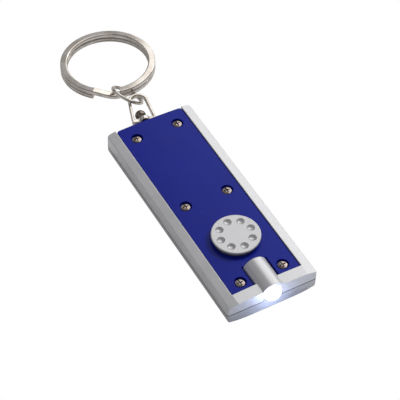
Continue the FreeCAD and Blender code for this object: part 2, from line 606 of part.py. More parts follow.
def circuit_board():
    board = box(-BOARD_HALF_WIDTH, BOARD_HALF_WIDTH, BOARD_FRONT_Y, BOARD_REAR_Y, BOARD_BOTTOM_Z, BOARD_TOP_Z)
    for s in (-1, 1):
        x = s * LED_LEAD_SPACING / 2
        board = board.cut(upright(LED_LEAD_WIDTH * 0.8, x, LEAD_BEND_Y, BOARD_BOTTOM_Z - 1, BOARD_TOP_Z + 1))
    return board


def resistor():
    """A chip resistor beside the switch: the ceramic body."""
    sx, sy, sz = RESISTOR_SIZE
    half = sx / 2 - RESISTOR_END
    return box(RESISTOR_X - half, RESISTOR_X + half, RESISTOR_Y - sy / 2, RESISTOR_Y + sy / 2,
               BOARD_TOP_Z, BOARD_TOP_Z + sz)


def resistor_ends():
    sx, sy, sz = RESISTOR_SIZE
    ends = []
    for s in (-1, 1):
        x0, x1 = sorted((RESISTOR_X + s * sx / 2, RESISTOR_X + s * (sx / 2 - RESISTOR_END)))
        ends.append(box(x0, x1, RESISTOR_Y - sy / 2, RESISTOR_Y + sy / 2, BOARD_TOP_Z, BOARD_TOP_Z + sz))
    return Part.makeCompound(ends)


# ---------------------------------------------------------------- LED
def led_lead(side, inner_y):
    """A square lead: out of the LED's base, back, then down through the board."""
    h = LED_LEAD_WIDTH / 2
    x = side * LED_LEAD_SPACING / 2
    run = box(x - h, x + h, inner_y, LEAD_BEND_Y + h, LED_Z - h, LED_Z + h)
    drop = box(x - h, x + h, LEAD_BEND_Y - h, LEAD_BEND_Y + h, BOARD_BOTTOM_Z - 0.35, LED_Z + h)
    return run.fuse(drop)


def led_lead_negative():
    """The lead with the small reflector cup that carries the chip, inside the lens."""
    h = LED_LEAD_WIDTH / 2
    lead = led_lead(1, POST_INNER_Y - 0.3)
    web = box(0, LED_LEAD_SPACING / 2 + h, POST_INNER_Y - 0.4, POST_INNER_Y + 0.2, LED_Z - h, LED_Z + h)
    cup = along_y(CUP_R, LED_Z, CUP_FRONT_Y, POST_INNER_Y + 0.1)
    dish = Part.makeCone(CUP_R * 0.85, CUP_R * 0.5, CUP_DEPTH, Vector(0, CUP_FRONT_Y, LED_Z), BACK)
    return lead.fuse(web).fuse(cup).cut(dish).removeSplitter()


def led_lead_positive():
    h = LED_LEAD_WIDTH / 2
    lead = led_lead(-1, CUP_FRONT_Y + 0.5)
    head = box(-LED_LEAD_SPACING / 2 - h, -CUP_R - CUP_GAP, CUP_FRONT_Y + 0.3, CUP_FRONT_Y + 0.9,
               LED_Z - h, LED_Z + h)
    return lead.fuse(head).removeSplitter()


def led_chip():
    """The chip under its yellow phosphor, which fills the cup."""
    return Part.makeCone(CUP_R * 0.85, CUP_R * 0.5, CUP_DEPTH, Vector(0, CUP_FRONT_Y, LED_Z), BACK)


def led_lens():
    """The clear epoxy body with its domed tip, cast round the leads."""
    dome_y = LED_TIP_Y + LED_R
    barrel = along_y(LED_R, LED_Z, dome_y, LED_BASE_Y)
    lens = barrel.fuse(Part.makeSphere(LED_R, Vector(0, dome_y, LED_Z)))
    flange = along_y(LED_FLANGE_R, LED_Z, LED_BASE_Y - LED_FLANGE_THICKNESS, LED_BASE_Y)
    lens = lens.fuse(flange)
    for inside in (led_lead_negative(), led_lead_positive(), led_chip()):
        lens = lens.cut(inside)
    return lens.removeSplitter()


# ---------------------------------------------------------------- battery and its contacts
def cell_parts(bottom_z):
    """Can, cap, gasket and core of a coin cell that lies with its cap down."""
    top_z = bottom_z + CELL_HEIGHT
    can = upright(CELL_R, 0, CELL_Y, bottom_z, top_z)
    can = can.makeFillet(0.3, edges_where(can, lambda p: near(p.z, top_z)))
    seal_r = CELL_CAP_R + CELL_GASKET_WIDTH
    inside_r = CELL_R - CELL_SKIN
    can = can.cut(upright(inside_r, 0, CELL_Y, bottom_z + CELL_SKIN, top_z - CELL_SKIN))
    can = can.cut(upright(seal_r, 0, CELL_Y, bottom_z - 1, bottom_z + CELL_SKIN))
    cap = upright(CELL_CAP_R, 0, CELL_Y, bottom_z, bottom_z + CELL_SKIN)
    gasket = upright(seal_r, 0, CELL_Y, bottom_z, bottom_z + CELL_SKIN)
    gasket = gasket.cut(upright(CELL_CAP_R, 0, CELL_Y, bottom_z - 1, bottom_z + 1))
    core = upright(inside_r, 0, CELL_Y, bottom_z + CELL_SKIN, top_z - CELL_SKIN)
    return {"can": can, "cap": cap, "gasket": gasket, "core": core}


def contact_strip(pad_z, board_z):
    """A bent strip: a flat on the board, a rise or drop, and a run to a round pad on the cell."""
    half = CONTACT_WIDTH / 2
    rise_y = CONTACT_SOLDER_Y + CONTACT_FOOT
    low, high = sorted((pad_z, board_z))
    t = CONTACT_THICKNESS
    foot = box(-half, half, CONTACT_SOLDER_Y - 1, rise_y + t, board_z, board_z + t)
    riser = box(-half, half, rise_y, rise_y + t, low, high + t)
    run = box(-half, half, rise_y, CELL_Y, pad_z, pad_z + t)
    pad = upright(CONTACT_PAD_R, 0, CELL_Y, pad_z, pad_z + t)
    return foot.fuse(riser).fuse(run).fuse(pad).removeSplitter()


def solder_joints():
    """Solder cones round the leads under the board."""
    joints = []
    h = LED_LEAD_WIDTH / 2
    for s in (-1, 1):
        x = s * LED_LEAD_SPACING / 2
        cone = Part.makeCone(0.45, 0.8, 0.3, Vector(x, LEAD_BEND_Y, BOARD_BOTTOM_Z - 0.3), UP)
        lead = box(x - h, x + h, LEAD_BEND_Y - h, LEAD_BEND_Y + h, BOARD_BOTTOM_Z - 1, BOARD_BOTTOM_Z + 1)
        joints.append(cone.cut(lead))
    return Part.makeCompound(joints)


# ---------------------------------------------------------------- swivel and rings
def swivel_pin():
    """Flange, shaft, collar, neck and ball, turned about the pin's axis."""
    flange_y = INNER_REAR_Y - PIN_FLANGE_GAP
    ball_y = STIRRUP_BASE.y + PIN_BALL_FROM_BASE
    pin = along_y(PIN_FLANGE_R, PIN_Z, flange_y - PIN_FLANGE_THICKNESS, flange_y)
    pin = pin.fuse(along_y(PIN_SHAFT_R, PIN_Z, flange_y - 0.1, REAR_Y + 0.2))
    collar = along_y(PIN_COLLAR_R, PIN_Z, REAR_Y + 0.12, REAR_Y + PIN_COLLAR_LENGTH)
    collar = collar.makeFillet(0.2, edges_where(collar, lambda p: near(p.y, REAR_Y + PIN_COLLAR_LENGTH)))
    pin = pin.fuse(collar).fuse(along_y(PIN_NECK_R, PIN_Z, REAR_Y, ball_y))
    return pin.fuse(Part.makeSphere(PIN_BALL_R, Vector(0, ball_y, PIN_Z))).removeSplitter()


def placed_stirrup(shape):
    """Turns a shape from the stirrup's own axes, base centre at the origin, to its place on the pin."""
    shape.rotate(Vector(0, 0, 0), UP, -STIRRUP_YAW)
    shape.translate(STIRRUP_BASE)
    return shape


def stirrup_outline(base_y, base_x, arch_r):
    """Edges of a D: a straight base, two leaning legs and a round arch, in the stirrup's own axes."""
    centre = Vector(0, STIRRUP_ARCH_Y, 0)
    corner = Vector(base_x, base_y, 0)
    # the leg is the tangent from the base's corner to the arch
    reach = corner - centre
    turn = math.acos(arch_r / reach.Length)
    lean = math.atan2(reach.y, reach.x) + turn
    touch = centre + Vector(math.cos(lean), math.sin(lean), 0) * arch_r
    left_corner, left_touch = Vector(-corner.x, corner.y, 0), Vector(-touch.x, touch.y, 0)
    return [
        line(left_corner, corner),
        line(corner, touch),
        arc(touch, centre + Vector(0, arch_r, 0), left_touch),
        line(left_touch, left_corner),
    ]


def swivel_stirrup():
    half_base = STIRRUP_BASE_THICKNESS / 2
    half_height = STIRRUP_HEIGHT / 2
    height = Vector(0, 0, STIRRUP_HEIGHT)
    inner_base, inner_arch = STIRRUP_BASE_HALF_WIDTH - STIRRUP_LEG, STIRRUP_ARCH_R - STIRRUP_LEG
    body = prism(stirrup_outline(-half_base, STIRRUP_BASE_HALF_WIDTH, STIRRUP_ARCH_R), height)
    body = body.cut(prism(stirrup_outline(half_base, inner_base, inner_arch), height))
    body.translate(Vector(0, 0, -half_height))
    corners = edges_where(body, lambda p: near(abs(p.x), STIRRUP_BASE_HALF_WIDTH) and near(p.y, -half_base))
    body = body.makeFillet(STIRRUP_BASE_THICKNESS / 2, corners)
    body = body.makeFillet(STIRRUP_ROUND, edges_where(body, lambda p: near(abs(p.z), half_height)))
    eye = Part.makeCylinder(STIRRUP_EYE_R, STIRRUP_BASE_THICKNESS, Vector(0, -half_base, 0), BACK)
    eye = eye.makeFillet(STIRRUP_ROUND, [e for e in eye.Edges if len(e.Vertexes) == 1])
    hole = Part.makeCylinder(STIRRUP_HOLE_R, 4 * half_base, Vector(0, -2 * half_base, 0), BACK)
    return placed_stirrup(body.fuse(eye).cut(hole).removeSplitter())


def jump_ring():
    """A ring of round wire with a narrow cut, through the stirrup and round the split ring's wire."""
    cut_angle = math.degrees(JUMP_RING_CUT / JUMP_RING_MEAN_R)
    start = Vector(JUMP_RING_MEAN_R, 0, 0)
    section = Part.Face(Part.Wire(Part.makeCircle(JUMP_RING_WIRE_R, start, Vector(0, 1, 0))))
    ring = section.revolve(Vector(0, 0, 0), UP, 360 - cut_angle)
    turn = FreeCAD.Rotation(UP, JUMP_RING_NORMAL)
    ring.Placement = FreeCAD.Placement(JUMP_RING_CENTRE, turn)
    return ring


def wire_section(angle, z):
    """The split ring's flat wire, cut across at an angle round the ring: a rectangle with round corners."""
    hw, ht, r = SPLIT_WIRE_WIDTH / 2, SPLIT_WIRE_THICKNESS / 2, SPLIT_WIRE_ROUND
    out = Vector(math.cos(angle), math.sin(angle), 0)
    middle = out * SPLIT_MEAN_R + Vector(0, 0, z)
    k = r * (1 - math.sqrt(0.5))

    def at(u, w):
        return middle + out * u + Vector(0, 0, w)

    return Part.Wire([
        line(at(-hw + r, -ht), at(hw - r, -ht)),
        arc(at(hw - r, -ht), at(hw - k, -ht + k), at(hw, -ht + r)),
        line(at(hw, -ht + r), at(hw, ht - r)),
        arc(at(hw, ht - r), at(hw - k, ht - k), at(hw - r, ht)),
        line(at(hw - r, ht), at(-hw + r, ht)),
        arc(at(-hw + r, ht), at(-hw + k, ht - k), at(-hw, ht - r)),
        line(at(-hw, ht - r), at(-hw, -ht + r)),
        arc(at(-hw, -ht + r), at(-hw + k, -ht + k), at(-hw + r, -ht)),
    ])


def split_ring():
    """Flat wire wound twice: an upper turn, a short step down, and a lower turn."""
    level = (SPLIT_WIRE_THICKNESS + SPLIT_LAYER_GAP) / 2
    jog_start = math.radians(SPLIT_END_ANGLE)
    jog = math.radians(SPLIT_JOG_SWEEP)
    turn_sweep = 360 - SPLIT_JOG_SWEEP
    free_end = math.radians(SPLIT_UPPER_END)
    upper = Part.Face(wire_section(jog_start + jog + free_end, level)).revolve(
        Vector(0, 0, 0), UP, turn_sweep - SPLIT_UPPER_END)
    lower = Part.Face(wire_section(jog_start + jog, -level)).revolve(Vector(0, 0, 0), UP, turn_sweep)
    steps = 8
    sections = []
    for i in range(steps + 1):
        t = i / steps
        drop = t * t * (3 - 2 * t)
        sections.append(wire_section(jog_start + jog * t, level - 2 * level * drop))
    step = Part.makeLoft(sections, True, False)
    ring = upper.fuse([step, lower]).removeSplitter()
    ring.rotate(Vector(0, 0, 0), Vector(1, 0, 0), -SPLIT_RING_TILT)
    ring.translate(SPLIT_CENTRE)
    return ring


# ---------------------------------------------------------------- export
def main():
    os.makedirs("parts", exist_ok=True)
    save("lower_shell", lower_shell())
    save("upper_frame", upper_frame())
    save("cover_plate", cover_plate())
    save("cover_screws", cover_screws())
    save("push_button", push_button())
    save("switch_housing", switch_housing())
    save("switch_plate", switch_plate())
    save("switch_stem", switch_stem())
    save("switch_dome", switch_dome())
    save("circuit_board", circuit_board())
    save("resistor", resistor())
    save("resistor_ends", resistor_ends())
    save("solder_joints", solder_joints())
    save("led_lens", led_lens())
    save("led_chip", led_chip())
    save("led_lead_negative", led_lead_negative())
    save("led_lead_positive", led_lead_positive())
    for i, name in enumerate(("lower_cell", "upper_cell")):
        for piece, shape in cell_parts(CELL_BOTTOM_Z + i * (CELL_HEIGHT + CELL_GAP)).items():
            save(f"{name}_{piece}", shape)
    save("negative_contact", contact_strip(FLOOR_THICKNESS, BOARD_BOTTOM_Z - CONTACT_THICKNESS))
    save("positive_contact", contact_strip(STACK_TOP_Z + CELL_GAP, BOARD_TOP_Z))
    save("swivel_pin", swivel_pin())
    save("swivel_stirrup", swivel_stirrup())
    save("jump_ring", jump_ring())
    save("split_ring", split_ring())


main()
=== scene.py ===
"""Keychain flashlight: silver moulded case, blue cover plate, push button, one LED, swivel and key ring.

Metres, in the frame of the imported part: +Z up, -Y where the light shines, +Y where the key ring hangs.
"""

import bmesh
import bpy
from mathutils import Matrix, Vector


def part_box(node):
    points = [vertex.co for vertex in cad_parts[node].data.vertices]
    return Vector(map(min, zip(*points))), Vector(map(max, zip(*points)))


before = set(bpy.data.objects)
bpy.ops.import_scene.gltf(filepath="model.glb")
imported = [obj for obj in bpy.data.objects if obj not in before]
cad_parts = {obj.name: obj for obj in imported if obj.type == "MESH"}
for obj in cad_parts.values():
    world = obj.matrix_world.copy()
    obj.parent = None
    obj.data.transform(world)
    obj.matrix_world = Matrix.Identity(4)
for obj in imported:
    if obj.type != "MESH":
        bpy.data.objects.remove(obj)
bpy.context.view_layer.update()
MM = 0.001

# ---------------------------------------------------------------- lower shell
# The tray that everything lies in. Injection-moulded ABS with a coat of fine silver lacquer.
# It is closed from above: its six bosses take the cover screws.


def finish(name):
    """Starts a material and gives its tree and its surface shader."""
    material = bpy.data.materials.new(name)
    material.use_nodes = True
    return material, material.node_tree, material.node_tree.nodes["Principled BSDF"]


def feed(tree, socket, value):
    """Links a socket to another one, or sets it to a number or a colour."""
    if isinstance(value, bpy.types.NodeSocket):
        tree.links.new(value, socket)
    else:
        socket.default_value = value


def add(tree, kind, settings=None, **inputs):
    """Adds a node. Inputs are given by name, with _ for a space, or by place as i0 and i1."""
    node = tree.nodes.new("ShaderNode" + kind)
    for key, value in (settings or {}).items():
        setattr(node, key, value)
    for key, value in inputs.items():
        by_place = key[0] == "i" and key[1:].isdigit()
        feed(tree, node.inputs[int(key[1:]) if by_place else key.replace("_", " ")], value)
    return node


def put(tree, shader, **inputs):
    """Sets or feeds the surface shader's sockets."""
    for key, value in inputs.items():
        feed(tree, shader.inputs[key.replace("_", " ")], value)


MIX_SHARE, MIX_FIRST, MIX_SECOND = 0, 6, 7     # a colour Mix node's inputs
MIX_COLOUR = 2                                 # and its output


def blend(tree, share, a, b):
    """A colour between two colours."""
    node = add(tree, "Mix", {"data_type": "RGBA"})
    for place, value in ((MIX_SHARE, share), (MIX_FIRST, a), (MIX_SECOND, b)):
        feed(tree, node.inputs[place], value)
    return node.outputs[MIX_COLOUR]


def spread(tree, value, low, high, start=0.0, end=1.0):
    """A value that runs from low to high while another runs from start to end."""
    node = add(tree, "MapRange", None, Value=value, From_Min=start, From_Max=end, To_Min=low, To_Max=high)
    return node.outputs[0]


def calc(tree, a, b, operation="ADD"):
    """One value from two."""
    return add(tree, "Math", {"operation": operation}, i0=a, i1=b).outputs[0]


def effect(name, inputs, outputs):
    """Starts a node group with named number inputs and outputs."""
    tree = bpy.data.node_groups.new(name, "ShaderNodeTree")
    number = "NodeSocketFloat"
    for label, value in inputs.items():
        tree.interface.new_socket(name=label, in_out="INPUT", socket_type=number).default_value = value
    for label in outputs:
        tree.interface.new_socket(name=label, in_out="OUTPUT", socket_type=number)
    return tree, tree.nodes.new("NodeGroupInput").outputs, tree.nodes.new("NodeGroupOutput").inputs


def use(tree, group, **inputs):
    """Places an effect in a material and gives its outputs."""
    node = tree.nodes.new("ShaderNodeGroup")
    node.node_tree = group
    for key, value in inputs.items():
        node.inputs[key.replace("_", " ")].default_value = value
    return node.outputs


def moulded_skin():
    """The surface that a mould and a coat of lacquer leave: fine peel, and slow cloudy changes of gloss."""
    scales = {"Peel Scale": 2600.0, "Cloud Scale": 110.0}
    tree, given, result = effect("moulded skin", scales, ("Peel", "Cloud"))
    place = add(tree, "TexCoord").outputs["Object"]
    peel = add(tree, "TexNoise", None, Vector=place, Scale=given["Peel Scale"], Detail=2.0, Roughness=0.55)
    cloud = add(tree, "TexNoise", None, Vector=place, Scale=given["Cloud Scale"], Detail=5.0, Roughness=0.6)
    tree.links.new(peel.outputs[0], result["Peel"])
    tree.links.new(spread(tree, cloud.outputs[0], 0.0, 1.0, 0.3, 0.7), result["Cloud"])
    return tree


def edge_rub():
    """Where pockets and fingers rub: the sharp edges, in patches."""
    tree, given, result = effect("edge rub", {"Width": 0.00022, "Patch Scale": 700.0}, ("Mask",))
    place = add(tree, "TexCoord").outputs["Object"]
    soft = add(tree, "Bevel", {"samples": 6}, Radius=given["Width"]).outputs[0]
    hard = add(tree, "NewGeometry").outputs["Normal"]
    same = add(tree, "VectorMath", {"operation": "DOT_PRODUCT"}, i0=soft, i1=hard).outputs["Value"]
    edge = spread(tree, same, 1.0, 0.0, 0.88, 0.995)
    patch = add(tree, "TexNoise", None, Vector=place, Scale=given["Patch Scale"], Detail=4.0, Roughness=0.7)
    rubbed = spread(tree, patch.outputs[0], 0.0, 1.0, 0.42, 0.6)
    tree.links.new(calc(tree, edge, rubbed, "MULTIPLY"), result["Mask"])
    return tree


def hairlines():
    """Fine scratches that run in two directions."""
    tree, given, result = effect("hairlines", {"Turn": 0.6, "Length": 60.0, "Fineness": 5200.0}, ("Mask",))
    place = add(tree, "TexCoord").outputs["Object"]
    masks = []
    for side in (1, -1.7):                     # the second set leans the other way and further
        turned = add(tree, "VectorRotate", {"rotation_type": "Z_AXIS"}, Vector=place,
                     Angle=calc(tree, given["Turn"], side, "MULTIPLY")).outputs[0]
        scale = add(tree, "CombineXYZ", None,
                    X=given["Length"], Y=given["Fineness"], Z=given["Length"]).outputs[0]
        drawn = add(tree, "VectorMath", {"operation": "MULTIPLY"}, i0=turned, i1=scale).outputs[0]
        lines = add(tree, "TexNoise", None, Vector=drawn, Scale=1.0, Detail=3.0, Roughness=0.55)
        masks.append(spread(tree, lines.outputs[0], 0.0, 1.0, 0.64, 0.72))
    tree.links.new(calc(tree, masks[0], masks[1], "MAXIMUM"), result["Mask"])
    return tree


def crevices():
    """Narrow gaps and inner corners, found by ambient occlusion: the mask by which the materials paint shade
    into them, together with tarnish in the nickel.
    """
    tree, given, result = effect("crevices", {"Reach": 0.0005}, ("Mask",))
    open_share = add(tree, "AmbientOcclusion", {"samples": 6}, Distance=given["Reach"]).outputs["AO"]
    tree.links.new(spread(tree, open_share, 1.0, 0.0, 0.15, 0.75), result["Mask"])
    return tree


def specks():
    """Single grains of dust, only in some places."""
    tree, given, result = effect("specks", {"Scale": 900.0, "Size": 0.09}, ("Mask",))
    place = add(tree, "TexCoord").outputs["Object"]
    cells = add(tree, "TexVoronoi", None, Vector=place, Scale=given["Scale"])
    chance = add(tree, "SeparateColor", None, Color=cells.outputs["Color"]).outputs[0]
    grain = calc(tree, cells.outputs["Distance"], given["Size"], "LESS_THAN")
    tree.links.new(calc(tree, grain, calc(tree, chance, 0.86, "GREATER_THAN"), "MULTIPLY"), result["Mask"])
    return tree


SKIN, RUB, LINES, GAPS, SPECKS = moulded_skin(), edge_rub(), hairlines(), crevices(), specks()

FLAKE_SCALE = 11000.0
WORN_LACQUER, WORN_SHARE = (0.42, 0.42, 0.44, 1), 0.5
# The dark grey painted into seams and inner corners as shade.
SEAM_SHADE, SEAM_SHADE_SHARE = (0.07, 0.068, 0.066, 1), 0.85
LACQUER_DUST, DUST_SHARE = (0.26, 0.25, 0.23, 1), 0.55
LACQUER_METAL = 0.62                           # how much of the coat acts as metal flakes
FLAKE_ROUGHNESS = 0.05                         # the most that a flake adds to the roughness


def silver_lacquer(name, deep, pale, gloss=(0.30, 0.40)):
    """Silver lacquer on plastic: metal flakes in a clear coat, cloudy gloss, rubbed edges and hairlines, and
    painted shade in seams and inner corners.
    """
    material, tree, shader = finish(name)
    skin = use(tree, SKIN)
    rub = use(tree, RUB)["Mask"]
    lines = use(tree, LINES)["Mask"]
    grains = use(tree, SPECKS)["Mask"]
    place = add(tree, "TexCoord").outputs["Object"]
    flakes = add(tree, "TexVoronoi", None, Vector=place, Scale=FLAKE_SCALE).outputs["Color"]
    glint = add(tree, "SeparateColor", None, Color=flakes).outputs[0]
    tone = blend(tree, calc(tree, glint, skin["Cloud"], "MULTIPLY"), deep, pale)
    worn = blend(tree, calc(tree, rub, WORN_SHARE, "MULTIPLY"), tone, WORN_LACQUER)
    # Painted shade: seams and inner corners that ambient occlusion finds shut in go dark grey.
    seam_shaded = blend(tree, calc(tree, use(tree, GAPS)["Mask"], SEAM_SHADE_SHARE, "MULTIPLY"), worn, SEAM_SHADE)
    dusty = blend(tree, calc(tree, grains, DUST_SHARE, "MULTIPLY"), seam_shaded, LACQUER_DUST)
    rough = calc(tree, spread(tree, skin["Cloud"], *gloss), calc(tree, lines, 0.10, "MULTIPLY"))
    rough = calc(tree, rough, calc(tree, glint, FLAKE_ROUGHNESS, "MULTIPLY"))
    height = calc(tree, skin["Peel"], calc(tree, lines, -0.35, "MULTIPLY"))
    bump = add(tree, "Bump", None, Strength=0.12, Distance=0.00003, Height=height).outputs[0]
    put(tree, shader, Base_Color=dusty, Roughness=rough, Normal=bump, Metallic=LACQUER_METAL, IOR=1.5)
    return material


def dress(material, *nodes):
    """Gives CAD nodes their finish."""
    for name in nodes:
        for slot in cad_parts[name].material_slots:
            slot.material = material


# Painted shade: the tray's lacquer is the frame's, made darker to stand for the shade that its lower walls
# lie in.
LOWER_SILVER_SHADED = silver_lacquer("lower silver lacquer darkened for shade", (0.50, 0.50, 0.51, 1), (0.60, 0.60, 0.61, 1))
dress(LOWER_SILVER_SHADED, "lower_shell")

# ---------------------------------------------------------------- battery and its contacts
# Two steel coin cells, one on the other with their caps down, between two strips of plated spring steel.
# The can is pressed steel, the cap sits in it with a plastic gasket, and the active fill is between them.

PLASTIC_SHINE = 0.35
PLASTIC_DUST, PLASTIC_DUST_SHARE = (0.3, 0.29, 0.27, 1), 0.4


def sheet_metal(name, deep, pale, gloss, grain=4200.0):
    """Rolled or plated metal: fine rolling lines, cloudy tarnish and hairlines."""
    material, tree, shader = finish(name)
    skin = use(tree, SKIN, Cloud_Scale=260.0)
    lines = use(tree, LINES, Turn=0.15, Length=30.0, Fineness=grain)["Mask"]
    tone = blend(tree, skin["Cloud"], deep, pale)
    marked = blend(tree, calc(tree, lines, 0.35, "MULTIPLY"), tone, tuple(0.6 * c for c in deep[:3]) + (1,))
    rough = calc(tree, spread(tree, skin["Cloud"], *gloss), calc(tree, lines, 0.12, "MULTIPLY"))
    bump = add(tree, "Bump", None, Strength=0.15, Distance=0.00001, Height=lines).outputs[0]
    put(tree, shader, Base_Color=marked, Roughness=rough, Normal=bump, Metallic=1.0)
    return material


def moulded(name, deep, pale, gloss=(0.4, 0.55), peel=2600.0):
    """Plain moulded plastic."""
    material, tree, shader = finish(name)
    skin = use(tree, SKIN, Peel_Scale=peel)
    grains = use(tree, SPECKS)["Mask"]
    tone = blend(tree, skin["Cloud"], deep, pale)
    dusty = blend(tree, calc(tree, grains, PLASTIC_DUST_SHARE, "MULTIPLY"), tone, PLASTIC_DUST)
    bump = add(tree, "Bump", None, Strength=0.15, Distance=0.00002, Height=skin["Peel"]).outputs[0]
    put(tree, shader, Base_Color=dusty, Roughness=spread(tree, skin["Cloud"], *gloss), Normal=bump,
        Specular_IOR_Level=PLASTIC_SHINE)
    return material


CELL_STEEL = sheet_metal("cell steel", (0.52, 0.52, 0.52, 1), (0.66, 0.66, 0.65, 1), (0.22, 0.34))
CONTACT_METAL = sheet_metal("plated contact strip", (0.60, 0.56, 0.48, 1), (0.72, 0.69, 0.60, 1), (0.2, 0.3))
GASKET = moulded("gasket nylon", (0.03, 0.03, 0.035, 1), (0.05, 0.05, 0.055, 1))
CELL_FILL = moulded("cell fill", (0.02, 0.02, 0.02, 1), (0.05, 0.05, 0.05, 1), (0.7, 0.9), 900.0)
for cell in ("lower_cell", "upper_cell"):
    dress(CELL_STEEL, cell + "_can", cell + "_cap")
    dress(GASKET, cell + "_gasket")
    dress(CELL_FILL, cell + "_core")
dress(CONTACT_METAL, "negative_contact", "positive_contact")

# ---------------------------------------------------------------- circuit board
# A small glass-fibre laminate with green solder mask. The weave of the glass shows faintly through the mask.
# It carries a chip resistor beside the switch, and the LED's leads are soldered through it.

WEAVE_SCALE = 700.0


def board_finish():
    """Green solder mask over woven glass."""
    material, tree, shader = finish("board laminate")
    place = add(tree, "TexCoord").outputs["Object"]
    skin = use(tree, SKIN)
    threads = [add(tree, "TexWave", {"bands_direction": way}, Vector=place, Scale=WEAVE_SCALE,
                   Distortion=0.6).outputs["Fac"] for way in ("X", "Y")]
    weave = calc(tree, *threads, "MULTIPLY")
    tone = blend(tree, weave, (0.008, 0.09, 0.03, 1), (0.015, 0.15, 0.05, 1))
    bump = add(tree, "Bump", None, Strength=0.2, Distance=0.00001, Height=weave).outputs[0]
    put(tree, shader, Base_Color=tone, Roughness=spread(tree, skin["Cloud"], 0.25, 0.4), Normal=bump)
    return material


dress(board_finish(), "circuit_board")
dress(moulded("chip ceramic", (0.012, 0.012, 0.014, 1), (0.03, 0.03, 0.033, 1), (0.3, 0.5)), "resistor")
SOLDER = sheet_metal("solder", (0.46, 0.46, 0.47, 1), (0.62, 0.62, 0.62, 1), (0.25, 0.45), 1800.0)
dress(SOLDER, "solder_joints", "resistor_ends")

# ---------------------------------------------------------------- switch
# A tactile switch: black moulded housing, snap dome and plate of thin steel, and a black stem.

SWITCH_PLASTIC = moulded("switch plastic", (0.014, 0.014, 0.015, 1), (0.028, 0.028, 0.03, 1), (0.35, 0.5))
THIN_STEEL = sheet_metal("thin steel", (0.5, 0.5, 0.49, 1), (0.66, 0.65, 0.63, 1), (0.18, 0.3))
dress(SWITCH_PLASTIC, "switch_housing", "switch_stem")
dress(THIN_STEEL, "switch_plate", "switch_dome")

# ---------------------------------------------------------------- LED
# A 5 mm LED: clear epoxy cast round two tinned leads. The chip lies under yellow phosphor in a small cup
# and is switched on: it fills the lens with blue-white light and spills over the case's front.

PHOSPHOR_LIGHT, LENS_LIGHT = 6.0, 1.3
GLOW_BEHIND_BASE, GLOW_PAST_TIP = 4.5 * MM, 2.2 * MM     # where the lens's own glow begins and is full


def phosphor_finish():
    """Yellow phosphor, lit from under."""
    material, tree, shader = finish("lit phosphor")
    skin = use(tree, SKIN, Peel_Scale=9000.0)
    tone = blend(tree, skin["Peel"], (0.9, 0.75, 0.25, 1), (1.0, 0.9, 0.45, 1))
    glow = blend(tree, skin["Peel"], (0.85, 0.92, 1.0, 1), (1.0, 1.0, 1.0, 1))
    put(tree, shader, Base_Color=tone, Roughness=0.6, Emission_Color=glow, Emission_Strength=PHOSPHOR_LIGHT)
    return material


def epoxy_finish():
    """Clear cast epoxy. The light inside grows from the flange to the domed tip."""
    material, tree, shader = finish("clear lit epoxy")
    place = add(tree, "TexCoord").outputs["Object"]
    skin = use(tree, SKIN, Peel_Scale=1500.0)
    along = add(tree, "SeparateXYZ", None, Vector=place).outputs[1]
    base_y, tip_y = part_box("led_lens")[1].y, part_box("led_lens")[0].y
    lit = spread(tree, along, 0.02, 1.0, base_y - GLOW_BEHIND_BASE, tip_y + GLOW_PAST_TIP)
    glow = blend(tree, lit, (0.02, 0.025, 0.05, 1), (0.86, 0.93, 1.0, 1))
    bump = add(tree, "Bump", None, Strength=0.05, Distance=0.00002, Height=skin["Peel"]).outputs[0]
    put(tree, shader, Base_Color=(0.93, 0.96, 1.0, 1), Roughness=spread(tree, skin["Cloud"], 0.03, 0.09),
        Normal=bump, Transmission_Weight=1.0, IOR=1.5, Emission_Color=glow, Emission_Strength=LENS_LIGHT)
    return material


dress(phosphor_finish(), "led_chip")
dress(epoxy_finish(), "led_lens")
dress(sheet_metal("tinned lead", (0.58, 0.58, 0.58, 1), (0.72, 0.72, 0.71, 1), (0.2, 0.3)),
      "led_lead_negative", "led_lead_positive")

# ---------------------------------------------------------------- upper frame
# The border round the cover plate, with the hood over the LED moulded on. Same lacquered ABS as the tray.
# Its ledge carries the plate, and the screws clamp it between the plate and the tray.

UPPER_SILVER = silver_lacquer("upper silver lacquer", (0.62, 0.62, 0.63, 1), (0.72, 0.72, 0.73, 1))
dress(UPPER_SILVER, "upper_frame")

# ---------------------------------------------------------------- cover plate
# The blue plate that is let into the frame. Through-coloured satin ABS, not lacquered, a little
# paler at the rubbed edges, with hairlines from keys.

BLUE_DEEP, BLUE_PALE = (0.0050, 0.0130, 0.250, 1), (0.0065, 0.0160, 0.280, 1)
BLUE_RUBBED, BLUE_DUST = (0.02, 0.03, 0.26, 1), (0.16, 0.17, 0.26, 1)


def blue_abs():
    """Blue plastic, rubbed at its edges and finely scratched."""
    material, tree, shader = finish("blue ABS")
    skin = use(tree, SKIN, Peel_Scale=1900.0)
    rub = use(tree, RUB, Width=0.00015)["Mask"]
    lines = use(tree, LINES, Turn=1.1, Length=80.0)["Mask"]
    grains = use(tree, SPECKS, Scale=700.0)["Mask"]
    tone = blend(tree, skin["Cloud"], BLUE_DEEP, BLUE_PALE)
    rubbed = blend(tree, calc(tree, rub, 0.4, "MULTIPLY"), tone, BLUE_RUBBED)
    dusty = blend(tree, calc(tree, grains, 0.25, "MULTIPLY"), rubbed, BLUE_DUST)
    rough = calc(tree, spread(tree, skin["Cloud"], 0.30, 0.38), calc(tree, lines, 0.12, "MULTIPLY"))
    bump = add(tree, "Bump", None, Strength=0.1, Distance=0.00002, Height=skin["Peel"]).outputs[0]
    put(tree, shader, Base_Color=dusty, Roughness=rough, Normal=bump, Specular_IOR_Level=0.15)
    return material


dress(blue_abs(), "cover_plate")

